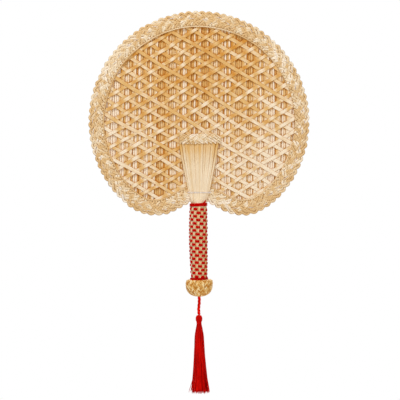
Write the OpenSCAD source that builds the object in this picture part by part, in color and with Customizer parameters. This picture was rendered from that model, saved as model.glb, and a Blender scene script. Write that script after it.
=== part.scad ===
// Round hand fan of straw: an open hexagonal weave over upright straws, a plaited rim,
// a straw handle woven with red yarn, a plaited pommel and a red tassel on a short cord.
// Millimetres. The origin is the middle of the handle, the face of the fan looks to -Y,
// and the fan stands up as a hand holds it, with the tassel hanging below.

/* [Blade] */
// Radius of the round blade, from its centre to the outer edge of the rim
blade_r = 143.5; // [120:0.5:170]
// How far the rim is drawn in above the handle
neck_dip = 41.5; // [34:0.5:50]
// Half angle over which the rim is drawn in, in degrees
dip_spread = 20; // [17:0.5:23]

/* [Weave] */
// Distance between neighbouring columns of holes
hole_pitch = 14.4; // [13:0.1:17]
// Distance between holes in one column
hole_rise = 17.5; // [16:0.1:21]
// Width of a woven strip
strip_w = 4.4; // [3:0.1:5]
// Thickness of a woven strip
strip_t = 0.4; // [0.3:0.05:0.6]
// Diameter of an upright straw behind the weave
straw_d = 2.4; // [1.8:0.05:2.6]
// Space between two upright straws
straw_gap = 0.45; // [0.3:0.05:0.8]

/* [Rim] */
// Width of the plaited rim
rim_w = 19.5; // [17:0.5:23]
// Thickness of each of the two plaits
braid_t = 1.9; // [1.4:0.05:2.2]
// Number of folds along the outer edge
scallops = 96; // [80:2:110]
// Depth of the folds along the outer edge
scallop_depth = 2.2; // [1:0.1:3]
// Length of straw and strip held under the rim
tuck = 9; // [7:0.5:10]
// Width of the hoop inside the rim
hoop_w = 4; // [3:0.1:5]
// Width of the split straw along the inner edge of the rim
edging_w = 1.8; // [1.2:0.1:2.4]
// Thickness of that split straw
edging_t = 0.9; // [0.6:0.05:1.2]
// Number of visible stitches along the rim on each side
stitches = 42; // [30:1:50]
// Length of a stitch
stitch_l = 6; // [4:0.5:8]
// Thickness of the sewing thread
thread_d = 0.5; // [0.4:0.05:0.7]

/* [Handle] */
// Length of the handle between the rim and the pommel
handle_len = 99.6; // [85:0.1:120]
// Diameter of the handle over the woven yarn
handle_d = 22; // [21:0.1:25]
// Number of straws round the handle, an odd number so that the weave alternates
warps = 15; // [13:2:15]
// Width of a handle straw
warp_w = 2.9; // [2.4:0.05:3.2]
// Thickness of a handle straw
warp_t = 1.5; // [1.2:0.05:1.7]
// Height of the woven yarn
weft_h = 2.6; // [2:0.1:3]
// Thickness of the woven yarn
weft_t = 0.5; // [0.4:0.05:0.6]
// Distance between rows of the woven yarn
weft_pitch = 4.4; // [4:0.1:5]
// Height of the yarn in the two bindings
bind_h = 1.5; // [1.2:0.05:1.8]
// Thickness of the yarn in the two bindings
bind_t = 0.8; // [0.6:0.05:1]

/* [Neck] */
// Height of the spread straws above the handle
fan_h = 76.3; // [65:0.5:90]
// Width of the spread straws where the band crosses them
fan_w = 48; // [40:0.5:56]
// Thickness of a straw where it lies spread and flat
fan_t = 1; // [0.7:0.05:1.2]
// Height of the plaited band over the spread straws
band_h = 13.4; // [11:0.1:16]
// Thickness of the plaited band
band_t = 2; // [1.4:0.1:2.6]
// How far the band reaches past the spread straws at each side
band_over = 2.9; // [1:0.1:4]
// Height of the nylon thread above the handle
tie_h = 13.7; // [12:0.1:16]

/* [Pommel and tassel] */
// Diameter of the pommel
pommel_d = 34.5; // [31:0.5:40]
// Height of the pommel
pommel_h = 21.6; // [19:0.1:26]
// Wall of the plaited pommel cap
cap_t = 2.4; // [1.8:0.1:3]
// Diameter of the tassel cord
cord_d = 3; // [2.6:0.1:3.2]
// Diameter of the stopper knot
knot_d = 6.4; // [5.8:0.1:7]
// Diameter of the tassel head
head_d = 8; // [7:0.1:9]
// Height of the tassel head
head_h = 9; // [8:0.1:11]
// Diameter of the tied neck of the tassel
tie_d = 5.6; // [5:0.1:6.4]
// Height of the tie round the neck of the tassel
tie_len = 2.6; // [2:0.1:4]
// Length of the tassel skirt
skirt_len = 91; // [70:1:110]
// Diameter of the tassel skirt at its lower end
skirt_d = 22; // [17:0.5:26]
// Number of yarn bundles round the skirt
skirt_lobes = 20; // [16:1:24]

/* [Hidden] */
$fn = 48;

// Clearances
touch = 0.1;      // between soft pieces that lie on each other
fit = 0.2;        // round pieces in their bores
rim_gap = 0.3;    // between the rim and the end of the handle
butt_gap = 0.4;   // between the two ends of a strip bent to a ring

// Heights and depths that follow from the sizes above
half_len = handle_len / 2;
blade_half = (3 * strip_t + straw_d) / 2;
rim_half = blade_half + braid_t;
handle_r = handle_d / 2;
weave_amp = (warp_t + weft_t) / 2 + touch;
warp_r = handle_r - weft_t / 2 - weave_amp;
core_r = warp_r - weave_amp - weft_t / 2 - fit;
warp_step = 360 / warps;

// The outer edge of the rim, by the angle t from straight down, to the right as seen
function edge_r(t) = blade_r - neck_dip * exp(-pow(t / dip_spread, 2));
function edge_d(t) = neck_dip * exp(-pow(t / dip_spread, 2)) * 2 * t / pow(dip_spread, 2) * 180 / PI;

// The angle at which the edge passes the side of the handle, and the blade's centre above it
neck_x = handle_r + 1;
neck_t0 = asin(neck_x / edge_r(0));
neck_t = asin(neck_x / edge_r(neck_t0));
blade_z = half_len + rim_gap + edge_r(neck_t) * cos(neck_t);
rim_inner_z = blade_z - edge_r(0) + rim_w;

// A point of the edge, moved in by inset along the edge's own normal
function edge_pt(t, inset) =
    let (
        r = edge_r(t),
        d = edge_d(t),
        out = (r * [sin(t), -cos(t)] - d * [cos(t), sin(t)]) / norm([r, d])
    )
    [0, blade_z] + r * [sin(t), -cos(t)] - inset * out;

// Whether a point of the blade's plane lies further in than inset
function within(p, inset) =
    let (
        q = p - [0, blade_z],
        t = atan2(q[0], -q[1]),
        r = edge_r(t)
    )
    norm(q) < r - inset * norm([r, edge_d(t)]) / r;

// How far from p along the direction d the line stays within the inset, by halving
function reach(p, d, inset, near = 0, far = 400, left = 18) =
    let (mid = (near + far) / 2)
    left == 0 ? near
    : within(p + mid * d, inset) ? reach(p, d, inset, mid, far, left - 1)
    : reach(p, d, inset, near, mid, left - 1);

function smooth(s) = s * s * (3 - 2 * s);
function mix(a, b, s) = a + (b - a) * s;

// A flat outline in the blade's plane, given the thickness t from the depth y towards the back
module upright(y, t) {
    translate([0, y + t, 0])
        rotate([90, 0, 0])
            linear_extrude(t)
                children();
}

// A strip bent round the blade between two insets, with its ends meeting at the top
module ring_strip(y, t, outer, inner, folds = 0, depth = 0) {
    gap = butt_gap / 2 / blade_r * 180 / PI;
    span = 360 - 2 * gap;
    outer_n = folds > 0 ? folds * 5 : 120;
    inner_n = 120;
    outer_pts = [
        for (i = [0 : outer_n])
            let (
                t = -180 + gap + span * i / outer_n,
                fold = depth * (1 - abs(sin(180 * folds * i / outer_n)))
            )
            edge_pt(t, outer + fold)
    ];
    inner_pts = [
        for (i = [inner_n : -1 : 0])
            edge_pt(-180 + gap + span * i / inner_n, inner)
    ];
    upright(y, t)
        polygon(concat(outer_pts, inner_pts));
}

// The faces of a closed tube: its ends are fans round two points that follow the rings
function tube_faces(rings, sides) =
    let (
        last = (rings - 1) * sides,
        middle = rings * sides
    )
    concat(
        [for (j = [0 : sides - 1]) [middle, j, (j + 1) % sides]],
        [
            for (i = [0 : rings - 2], j = [0 : sides - 1])
                let (
                    a = i * sides + j,
                    b = i * sides + (j + 1) % sides
                )
                each [[a, a + sides, b], [b, a + sides, b + sides]]
        ],
        [for (j = [0 : sides - 1]) [middle + 1, last + (j + 1) % sides, last + j]]
    );

function centre(ring) = [for (k = [0 : 2]) sum([for (p = ring) p[k]]) / len(ring)];
function sum(v, i = 0) = i < len(v) ? v[i] + sum(v, i + 1) : 0;

module tube(rings) {
    last = len(rings) - 1;
    polyhedron(
        points = concat([for (ring = rings) each ring], [centre(rings[0]), centre(rings[last])]),
        faces = tube_faces(last + 1, len(rings[0])),
        convexity = 6
    );
}

// The least distance between points of a path that are more than skip places apart
function least_gap(path, skip) = min([
    for (i = [0 : len(path) - 1], j = [i + skip : 1 : len(path) - 1])
        norm(path[i] - path[j])
]);

// Upright straws, side by side across the back of the blade
straw_pitch = straw_d + straw_gap;
strip_inset = rim_w - tuck;
straw_n = floor((blade_r - strip_inset) / straw_pitch);

module back_straws() {
    color("#E3C48C")
        for (i = [-straw_n : straw_n]) {
            foot = [i * straw_pitch, blade_z];
            if (within(foot + [0, straw_d * 2], strip_inset)) {
                up = reach(foot, [0, 1], strip_inset);
                down = reach(foot, [0, -1], strip_inset);
                translate([foot[0], blade_half - straw_d / 2, blade_z - down])
                    cylinder(d = straw_d, h = up + down);
            }
        }
}

// One strip along the direction d through the point p, in the layer that starts at depth y
module strip(p, d, y) {
    there = reach(p, d, strip_inset);
    back = reach(p, -d, strip_inset);
    side = strip_w / 2 * [-d[1], d[0]];
    if (there + back > 2 * strip_w)
        upright(y, strip_t)
            polygon([
                p + there * d + side,
                p + there * d - side,
                p - back * d - side,
                p - back * d + side
            ]);
}

// Strips that slope by the slant s, plus one for rising and minus one for falling
slope = hole_rise / (2 * hole_pitch);
hole_z = blade_z + 5.4 * hole_rise;
slant_n = ceil(blade_r / hole_rise) + 2;

module slanted(s, y) {
    d = [1, s * slope] / norm([1, slope]);
    n = [-d[1], d[0]];
    for (k = [-slant_n - 6 : slant_n - 4]) {
        on_line = [-hole_pitch / 2, hole_z + (k + 0.5) * hole_rise];
        foot = [0, blade_z] + n * ((on_line - [0, blade_z]) * n);
        if (within(foot, strip_inset + strip_w))
            strip(foot, d, y);
    }
}

module lattice_falling() {
    color("#DDB878") slanted(-1, -blade_half + strip_t);
}

module lattice_rising() {
    color("#EACB94") slanted(1, -blade_half);
}

upright_n = floor((blade_r - strip_inset - strip_w) / hole_pitch);

module lattice_uprights() {
    color("#E6C68C")
        for (i = [-upright_n : upright_n])
            strip([i * hole_pitch, blade_z], [0, 1], -blade_half + 2 * strip_t);
}

// The rim: a hoop between two plaits, with a split straw along their inner edges
hoop_in = 3;

module rim_hoop() {
    color("#C89A55") ring_strip(-blade_half, 2 * blade_half, hoop_in, hoop_in + hoop_w);
}

module braid(y) {
    ring_strip(y, braid_t, 0, rim_w, scallops, scallop_depth);
}

module rim_braid_front() {
    color("#DDB475") braid(-rim_half);
}

module rim_braid_back() {
    color("#D8AE6E") braid(blade_half);
}

module edging_front() {
    color("#EBD3A2") ring_strip(-blade_half - edging_t, edging_t, rim_w + touch, rim_w + touch + edging_w);
}

module edging_back() {
    color("#EBD3A2") ring_strip(blade_half, edging_t, rim_w + touch, rim_w + touch + edging_w);
}

// Visible runs of the sewing thread, along the middle of the rim on both sides
module stitch_row(y) {
    for (i = [0 : stitches - 1]) {
        t = -180 + 360 * (i + 0.5) / stitches;
        if (abs(t) * PI / 180 * edge_r(0) > fan_w / 2) {
            p = edge_pt(t, rim_w / 2);
            q = edge_pt(t + 1, rim_w / 2);
            translate([p[0], y, p[1]])
                rotate([0, -atan2(q[1] - p[1], q[0] - p[0]), 0])
                    translate([-stitch_l / 2, 0, -thread_d / 2])
                        cube([stitch_l, thread_d, thread_d]);
        }
    }
}

module rim_stitches() {
    color("#D8D2DC") {
        stitch_row(-rim_half - thread_d);
        stitch_row(rim_half);
    }
}

// The handle: a round stick, straws round it, and the yarn woven through them.
// The straws run from the pommel to the rim and spread over both faces of the blade.
plug_top = -half_len - cap_t - fit;
bend_len = 6.3;
turn_z = half_len - bend_len;
core_top = turn_z;
spigot_h = 7;
spigot_d = 10;
socket_h = spigot_h + knot_d + 2;

module handle_core() {
    color("#C9A063")
        difference() {
            translate([0, 0, plug_top])
                cylinder(r = core_r, h = core_top - plug_top);
            translate([0, 0, plug_top - 1])
                cylinder(d = spigot_d + 2 * fit, h = socket_h + 1);
        }
}

// How a straw lies at the height of the neck, the thread, the inner edge of the rim and the band
thread_z = half_len + tie_h;
rim_clear_z = rim_inner_z + edging_w + 2;
band_z = half_len + fan_h;
fan_top_z = band_z + band_h - 3;
y_rim = rim_half + touch + fan_t / 2;
y_weave = blade_half + touch + fan_t / 2;
neck_w = 16.6;
neck_arch = 4.9;
thread_arch = 1.2;
thread_w = 24;

// Centre x, depth y, turn, width and thickness of straw u (from -1 to 1) of a face, at
// station s: 0 to 1 turns from the round handle to the neck, then 2 thread, 3 rim, 4 and 5 band
function straw_at(u, turn, count, s) =
    let (
        round = [warp_r * sin(turn), warp_r * cos(turn), turn, warp_w, warp_t],
        neck = [u * neck_w / 2, y_rim + neck_arch * (1 - u * u), 0, neck_w / count, warp_t * 0.8],
        tied = [u * thread_w / 2, y_rim + thread_arch * (1 - u * u), 0, thread_w / count, fan_t],
        wide = fan_w - fan_w / count,
        rise = (rim_clear_z - thread_z) / (band_z - thread_z),
        clear = [u * mix(thread_w, wide, rise) / 2, y_rim, 0, mix(thread_w, wide, rise) / count, fan_t],
        band = [u * wide / 2, y_weave, 0, fan_w / count - 2 * touch, fan_t]
    )
    s <= 1 ? mix(round, neck, smooth(s))
    : s == 2 ? tied
    : s == 3 ? clear
    : band;

function straw_ring(p, z) =
    let (
        across = [cos(p[2]), sin(p[2])],
        out = [sin(p[2]), -cos(p[2])],
        c = [p[0], -p[1]]
    )
    [
        for (k = [[-0.5, 0], [-0.25, -0.5], [0.25, -0.5], [0.5, 0], [0.25, 0.5], [-0.25, 0.5]])
            let (q = c + k[0] * p[3] * across - k[1] * p[4] * out)
            [q[0], q[1], z]
    ];

module handle_straw(u, turn, count) {
    stations = [
        [0, plug_top + touch], [0, turn_z], [0.2, mix(turn_z, half_len, 0.2)],
        [0.4, mix(turn_z, half_len, 0.4)], [0.6, mix(turn_z, half_len, 0.6)],
        [0.8, mix(turn_z, half_len, 0.8)], [1, half_len],
        [2, thread_z], [3, rim_clear_z], [4, band_z], [5, fan_top_z]
    ];
    tube([for (st = stations) straw_ring(straw_at(u, turn, count, st[0]), st[1])]);
}

front_n = ceil(warps / 2);
back_n = floor(warps / 2);

module straw_face(count) {
    for (i = [0 : count - 1])
        handle_straw(
            -1 + 2 * i / (count - 1),
            (i - (count - 1) / 2) * warp_step,
            count
        );
}

module handle_straws_front() {
    color("#EBD6A6") straw_face(front_n);
}

module handle_straws_back() {
    color("#E6CE9C") mirror([0, 1, 0]) straw_face(back_n);
}

// A plaited band across the spread straws
band_folds = 14;
fold_depth = 0.8;

module neck_band() {
    half_w = fan_w / 2 + band_over;
    steps = band_folds * 4;
    waves = [for (i = [0 : steps]) fold_depth * (1 - abs(sin(180 * band_folds * i / steps)))];
    upper = [for (i = [0 : steps]) [mix(-half_w, half_w, i / steps), band_z + band_h - waves[i]]];
    lower = [for (i = [steps : -1 : 0]) [mix(-half_w, half_w, i / steps), band_z + waves[i]]];
    upright(-y_weave - fan_t / 2 - touch - band_t, band_t)
        polygon(concat(upper, lower));
}

module neck_band_front() {
    color("#D9B070") neck_band();
}

module neck_band_back() {
    color("#D4AA6A") mirror([0, 1, 0]) neck_band();
}

// The nylon thread that draws the spread straws to the rim, as its run over each face
tie_w = 30;

module thread_run() {
    steps = 8;
    depth = y_rim + fan_t / 2 + touch;
    over = [
        for (i = [0 : steps])
            let (u = -1 + 2 * i / steps)
            [u * (thread_w / 2 + 2), -depth - thread_arch * (1 - u * u)]
    ];
    inner = concat([[-tie_w / 2, -rim_half]], over, [[tie_w / 2, -rim_half]]);
    outer = concat(
        [[tie_w / 2 + thread_d, -rim_half]],
        [for (i = [steps : -1 : 0]) over[i] - [0, thread_d]],
        [[-tie_w / 2 - thread_d, -rim_half]]
    );
    translate([0, 0, thread_z - thread_d / 2])
        linear_extrude(thread_d)
            polygon(concat(inner, outer));
}

module neck_thread() {
    color("#F0EDF2") {
        thread_run();
        mirror([0, 1, 0]) thread_run();
    }
}

// The two bindings: turns of yarn round the straws, with a gap to the next turn
bind_r = warp_r + warp_t / 2 + bind_t / 2 + fit;
bind_pitch = bind_h + 0.45;
bind_rings = 24;
top_turns = 1.4;
bottom_turns = 1.1;
top_start = 35;
top_low = half_len - bind_h / 2 - bind_pitch * (top_turns + top_start / 360) - touch;
bottom_low = -half_len + bind_h / 2 + touch;
bottom_high = bottom_low + bind_pitch * bottom_turns + bind_h / 2;

// The yarn woven through the handle straws: two rings at each straw, out and in by turns
weft_top = turn_z - weft_h / 2 - touch;
weft_low = bottom_high + weft_h / 2 + 4 * touch;
weft_steps = floor((weft_top - weft_low) / weft_pitch * warps);
weft_side = 0.27 * warp_step;

function weft_at(i) =
    let (
        k = floor(i / 2),
        a = k * warp_step + (i % 2 == 0 ? -weft_side : weft_side),
        r = warp_r + (k % 2 == 0 ? weave_amp : -weave_amp),
        start = (front_n - 1) / 2 * warp_step
    )
    [r * sin(a - start), -r * cos(a - start), weft_top - weft_pitch * a / 360];

weft_path = [for (i = [0 : 2 * weft_steps - 1]) weft_at(i)];

function ribbon_ring(p, t, h) =
    let (out = [p[0], p[1], 0] / norm([p[0], p[1]]))
    [
        p + out * t / 2 - [0, 0, h / 2],
        p - out * t / 2 - [0, 0, h / 2],
        p - out * t / 2 + [0, 0, h / 2],
        p + out * t / 2 + [0, 0, h / 2]
    ];

module red_weft() {
    color("#C01010") tube([for (p = weft_path) ribbon_ring(p, weft_t, weft_h)]);
}

function bind_at(a, z) = [bind_r * sin(a), -bind_r * cos(a), z + bind_pitch * a / 360];

function yarn_ring(p, t, h) =
    let (out = [p[0], p[1], 0] / norm([p[0], p[1]]))
    [
        for (k = [[0.5, -0.25], [0, -0.5], [-0.5, -0.25], [-0.5, 0.25], [0, 0.5], [0.5, 0.25]])
            p + out * t * k[0] + [0, 0, h * k[1]]
    ];

top_path = [
    for (i = [0 : ceil(bind_rings * top_turns)])
        bind_at(top_start + i * 360 / bind_rings, top_low)
];
bottom_path = [for (i = [0 : ceil(bind_rings * bottom_turns)]) bind_at(i * 360 / bind_rings, bottom_low)];

echo(weft_least_gap = least_gap(weft_path, warps) - weft_h);
echo(top_binding_least_gap = least_gap(top_path, 12) - bind_h);
echo(bottom_binding_least_gap = least_gap(bottom_path, 12) - bind_h);

module top_binding() {
    color("#C01010") tube([for (p = top_path) yarn_ring(p, bind_t, bind_h)]);
}

module bottom_binding() {
    color("#C01010") tube([for (p = bottom_path) yarn_ring(p, bind_t, bind_h)]);
}

// The pommel: a plaited cap drawn over a turned plug, whose spigot sits in the handle's stick
shoulder_h = 6;
shoulder_in = 1.8;
flare = 2 / 2.4;

// Half outline of the pommel taken in by the wall w, from the top edge to the lowest point
function pommel_half(w) =
    let (
        a = pommel_d / 2 - w,
        h = pommel_h - w - shoulder_h
    )
    concat(
        [[0, -w], [a - shoulder_in, -w], [a - shoulder_in / 4, -w - (shoulder_h - w) / 2]],
        [
            for (q = [0 : 9 : 90])
                [a * pow(max(cos(q), 0), flare), -shoulder_h - h * pow(sin(q), flare)]
        ]
    );

module pommel_body(w) {
    translate([0, 0, -half_len])
        rotate_extrude()
            polygon(pommel_half(w));
}

module cord_hole() {
    translate([0, 0, -half_len - pommel_h - 1])
        cylinder(d = cord_d + 2 * fit, h = pommel_h + spigot_h + 10);
}

module pommel_cap() {
    color("#CDA05C")
        difference() {
            pommel_body(0);
            pommel_body(cap_t);
            translate([0, 0, -half_len - cap_t - 1])
                cylinder(r = warp_r + warp_t / 2 + fit, h = cap_t + 2);
            cord_hole();
        }
}

module pommel_core() {
    color("#C9A063")
        difference() {
            union() {
                pommel_body(cap_t + fit);
                translate([0, 0, plug_top - 1])
                    cylinder(d = spigot_d, h = spigot_h + 1);
            }
            cord_hole();
        }
}

// The cord: a stopper knot on the spigot, with the stretch inside the pommel and just below
// it, then the free stretch down to the tassel. Where one bends against the next, both
// narrow to a tip. The route starts at the upper tip.
mouth_z = -half_len - pommel_h;
cord_top_z = mouth_z - cord_d * 0.8;
knot_z = plug_top + spigot_h + knot_d / 2;
cord_route = [
    [0, 0, -0.1], [0, 0, -0.6], [0, 0, -1.6], [0, 0, -2.1], [-0.2, 0, -6],
    [-0.5, 0, -11], [-0.4, 0, -16], [0, 0, -19.5], [0, 0, -20], [0, 0, -21], [0, 0, -21.5]
];
tip = [0.06, 0.2, 0.7, 1];
tip_z = [0.1, 0.6, 1.6, 2.1];
cord_share = [tip[0], tip[1], tip[2], 1, 1, 1, 1, 1, tip[2], tip[1], tip[0]];
cord_sides = 8;
head_z = cord_top_z + cord_route[len(cord_route) - 1][2] - touch;

module cord_knot() {
    color("#B80E0E") {
        translate([0, 0, knot_z])
            sphere(d = knot_d);
        rotate_extrude()
            polygon(concat(
                [[0, knot_z], [0, cord_top_z + tip_z[0]]],
                [for (i = [0 : 3]) [cord_d / 2 * tip[i], cord_top_z + tip_z[i]]],
                [[cord_d / 2, knot_z]]
            ));
    }
}

module tassel_cord() {
    color("#C81414")
        translate([0, 0, cord_top_z])
            tube([
                for (i = [0 : len(cord_route) - 1])
                    [
                        for (j = [0 : cord_sides - 1])
                            let (a = -360 * j / cord_sides)
                            cord_route[i] + cord_d / 2 * cord_share[i] * [cos(a), sin(a), 0]
                    ]
            ]);
}

// The tassel: a wrapped head, a tie round the neck and a skirt of yarn bundles
neck_z = head_z - head_h;
skirt_top = neck_z - touch;
skirt_rings = 9;

module tassel_head() {
    color("#C41212")
        translate([0, 0, head_z])
            rotate_extrude()
                polygon([
                    [0, 0], [head_d * 0.08, -head_h * 0.04], [head_d * 0.3, -head_h * 0.15],
                    [head_d / 2, -head_h * 0.38], [head_d / 2, -head_h * 0.62],
                    [head_d * 0.45, -head_h * 0.82], [tie_d / 2, -head_h], [0, -head_h]
                ]);
}

module tassel_tie() {
    color("#A80C0C")
        translate([0, 0, skirt_top - tie_len - touch])
            difference() {
                cylinder(d = tie_d + 1.6, h = tie_len);
                translate([0, 0, -1])
                    cylinder(d = tie_d + 2 * touch, h = tie_len + 2);
            }
}

// Radius of the skirt at the share s of its length, and how uneven its ends are
function skirt_r(s) =
    s < 0.08 ? tie_d / 2
    : mix(head_d / 2, skirt_d / 2, pow((s - 0.08) / 0.92, 1.3));

module tassel_skirt() {
    shares = [0, 0.02, 0.06, 0.1, 0.2, 0.35, 0.5, 0.65, 0.8, 0.92, 1];
    sides = 2 * skirt_lobes;
    color("#CC1414")
        tube([
            for (s = shares)
                [
                    for (j = [0 : sides - 1])
                        let (
                            a = -360 * j / sides,
                            groove = j % 2 == 0 || s < 0.1 ? 1 : 0.88,
                            r = skirt_r(s) * groove * (s == 0 || s > 0.1 ? 1 : 0.98),
                            uneven = s == 1 ? 1.5 * sin(137 * j) : 0
                        )
                        [r * cos(a), r * sin(a), skirt_top - s * skirt_len + uneven]
                ]
        ]);
}

back_straws();
lattice_falling();
lattice_rising();
lattice_uprights();
rim_hoop();
rim_braid_front();
rim_braid_back();
edging_front();
edging_back();
rim_stitches();
handle_core();
handle_straws_front();
handle_straws_back();
neck_band_front();
neck_band_back();
neck_thread();
top_binding();
red_weft();
bottom_binding();
pommel_cap();
pommel_core();
cord_knot();
tassel_cord();
tassel_head();
tassel_tie();
tassel_skirt();
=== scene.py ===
# %% [markdown]
# # Dressing a round straw hand fan
#
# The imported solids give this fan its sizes: a round blade of upright straws and woven strips,
# a plaited rim, a handle of straws with red yarn woven through them, a plaited pommel and a
# tassel. This notebook lays real straws and yarns where the solids are, and gives each of
# them a material. Everything is in metres, with the front of the fan towards -Y.

# %% Tools and the frame
import math

import bpy
import numpy as np
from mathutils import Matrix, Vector


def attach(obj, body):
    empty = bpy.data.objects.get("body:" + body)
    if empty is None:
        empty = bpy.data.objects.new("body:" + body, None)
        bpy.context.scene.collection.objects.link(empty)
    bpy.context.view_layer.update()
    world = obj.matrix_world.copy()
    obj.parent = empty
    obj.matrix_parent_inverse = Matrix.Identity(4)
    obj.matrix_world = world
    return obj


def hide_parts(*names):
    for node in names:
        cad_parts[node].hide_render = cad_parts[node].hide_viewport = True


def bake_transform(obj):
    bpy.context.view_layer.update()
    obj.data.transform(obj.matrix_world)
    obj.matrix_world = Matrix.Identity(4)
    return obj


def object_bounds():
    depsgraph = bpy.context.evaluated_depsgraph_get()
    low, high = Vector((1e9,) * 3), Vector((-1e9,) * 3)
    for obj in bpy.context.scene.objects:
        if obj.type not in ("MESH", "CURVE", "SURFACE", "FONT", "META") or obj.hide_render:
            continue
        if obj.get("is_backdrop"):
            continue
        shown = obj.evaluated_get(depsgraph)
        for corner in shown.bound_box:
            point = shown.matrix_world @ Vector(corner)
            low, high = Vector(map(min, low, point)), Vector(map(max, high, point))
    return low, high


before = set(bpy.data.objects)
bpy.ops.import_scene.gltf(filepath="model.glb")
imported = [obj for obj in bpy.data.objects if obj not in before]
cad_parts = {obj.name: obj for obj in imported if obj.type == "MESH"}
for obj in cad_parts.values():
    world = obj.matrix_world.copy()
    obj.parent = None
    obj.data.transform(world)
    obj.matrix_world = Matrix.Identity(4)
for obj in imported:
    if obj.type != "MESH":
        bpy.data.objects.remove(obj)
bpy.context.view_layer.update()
bpy.ops.object.select_all(action="DESELECT")
MM = 0.001

# %% [markdown]
# ## The camera
#
# The photograph looks straight at the front, with almost no perspective, so the camera has a
# long lens and stands far off, level with the middle of the picture. One pixel of the picture
# is 1.3 mm of the fan. Nothing is turned or tilted, so the lens needs no shift.

# %% Camera
PIXEL = 1.3 * MM
PICTURE = 400
AXIS_PX = 199.0
ORIGIN_PX = 241.4
LENS = 100.0
camera_data = bpy.data.cameras.new("camera")
camera_data.lens = LENS
camera_data.sensor_width = 36.0
camera = bpy.data.objects.new("camera", camera_data)
bpy.context.collection.objects.link(camera)
distance = LENS / camera_data.sensor_width * PICTURE * PIXEL
centre_x = (PICTURE / 2 - AXIS_PX) * PIXEL
centre_z = (ORIGIN_PX - PICTURE / 2) * PIXEL
camera.location = (centre_x, -distance, centre_z)
camera.rotation_euler = (math.pi / 2, 0, 0)
bpy.context.scene.camera = camera
print("camera stands", round(distance, 3), "m from the fan")

# %% [markdown]
# ## One straw, rolled by hand
#
# Almost everything here is long and thin: straws, split strips, yarn. Each is laid from the
# same kind of blank: a flat grid, rolled into a tube, its seam merged and its ends filled.
# A curve with a round bevel could do this too, but a rolled grid keeps a clean UV map that
# runs along the straw, and lets each straw be flat, oval or split.

# %% The blank
blanks = {}


def blank(steps, sides, square=1.0):
    """A tube of rings along X, kept as numbers: ring of each point, its place round, faces, UV."""
    key = (steps, sides, square)
    if key in blanks:
        return blanks[key]
    bpy.ops.mesh.primitive_grid_add(x_subdivisions=steps, y_subdivisions=sides, size=1)
    sheet = bpy.context.object
    flat = np.empty(len(sheet.data.vertices) * 3)
    sheet.data.vertices.foreach_get("co", flat)
    flat = flat.reshape(-1, 3)
    turn = (flat[:, 1] + 0.5) * 2 * math.pi
    rolled = np.stack([(flat[:, 0] + 0.5) * steps, np.cos(turn), np.sin(turn)], 1)
    sheet.data.vertices.foreach_set("co", rolled.ravel())
    bpy.ops.object.mode_set(mode="EDIT")
    bpy.ops.mesh.select_all(action="SELECT")
    bpy.ops.mesh.remove_doubles(threshold=1e-4)
    bpy.ops.mesh.fill_holes(sides=0)
    bpy.ops.mesh.normals_make_consistent(inside=False)
    bpy.ops.object.mode_set(mode="OBJECT")
    data = sheet.data
    points = np.array([v.co[:] for v in data.vertices])
    uv = np.zeros(len(data.loops) * 2)
    data.uv_layers.active.data.foreach_get("uv", uv)
    shape = np.sign(points[:, 1:]) * np.abs(points[:, 1:]) ** square
    blanks[key] = {
        "ring": np.rint(points[:, 0]).astype(int),
        "across": shape[:, 0],
        "up": shape[:, 1],
        "faces": [list(p.vertices) for p in data.polygons],
        "uv": uv.reshape(-1, 2),
    }
    bpy.data.objects.remove(sheet, do_unlink=True)
    bpy.data.meshes.remove(data)
    return blanks[key]


print("blank of 4 rings:", len(blank(4, 6)["faces"]), "faces")

# %% [markdown]
# ## Laying straws
#
# A straw is laid by carrying the blank's rings along a line of points, with one side turned
# to a given direction. Many laid straws make one piece. Each straw keeps a random tone, so
# that its material can be paler or riper than its neighbour's, with painted shade added to the
# tone in places, and a mark of how near a point is to the straw's flank, where the material
# paints the shade of the cracks between straws.

# %% Laying and joining


def unit(v):
    """The same directions at length one."""
    return v / np.maximum(np.linalg.norm(v, axis=-1, keepdims=True), 1e-12)


def resample(line, steps):
    """The same line with steps + 1 points at even distances."""
    line = np.asarray(line, float)
    walked = np.concatenate([[0], np.cumsum(np.linalg.norm(np.diff(line, axis=0), axis=1))])
    wanted = np.linspace(0, walked[-1], steps + 1)
    return np.stack([np.interp(wanted, walked, line[:, k]) for k in range(3)], 1)


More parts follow.
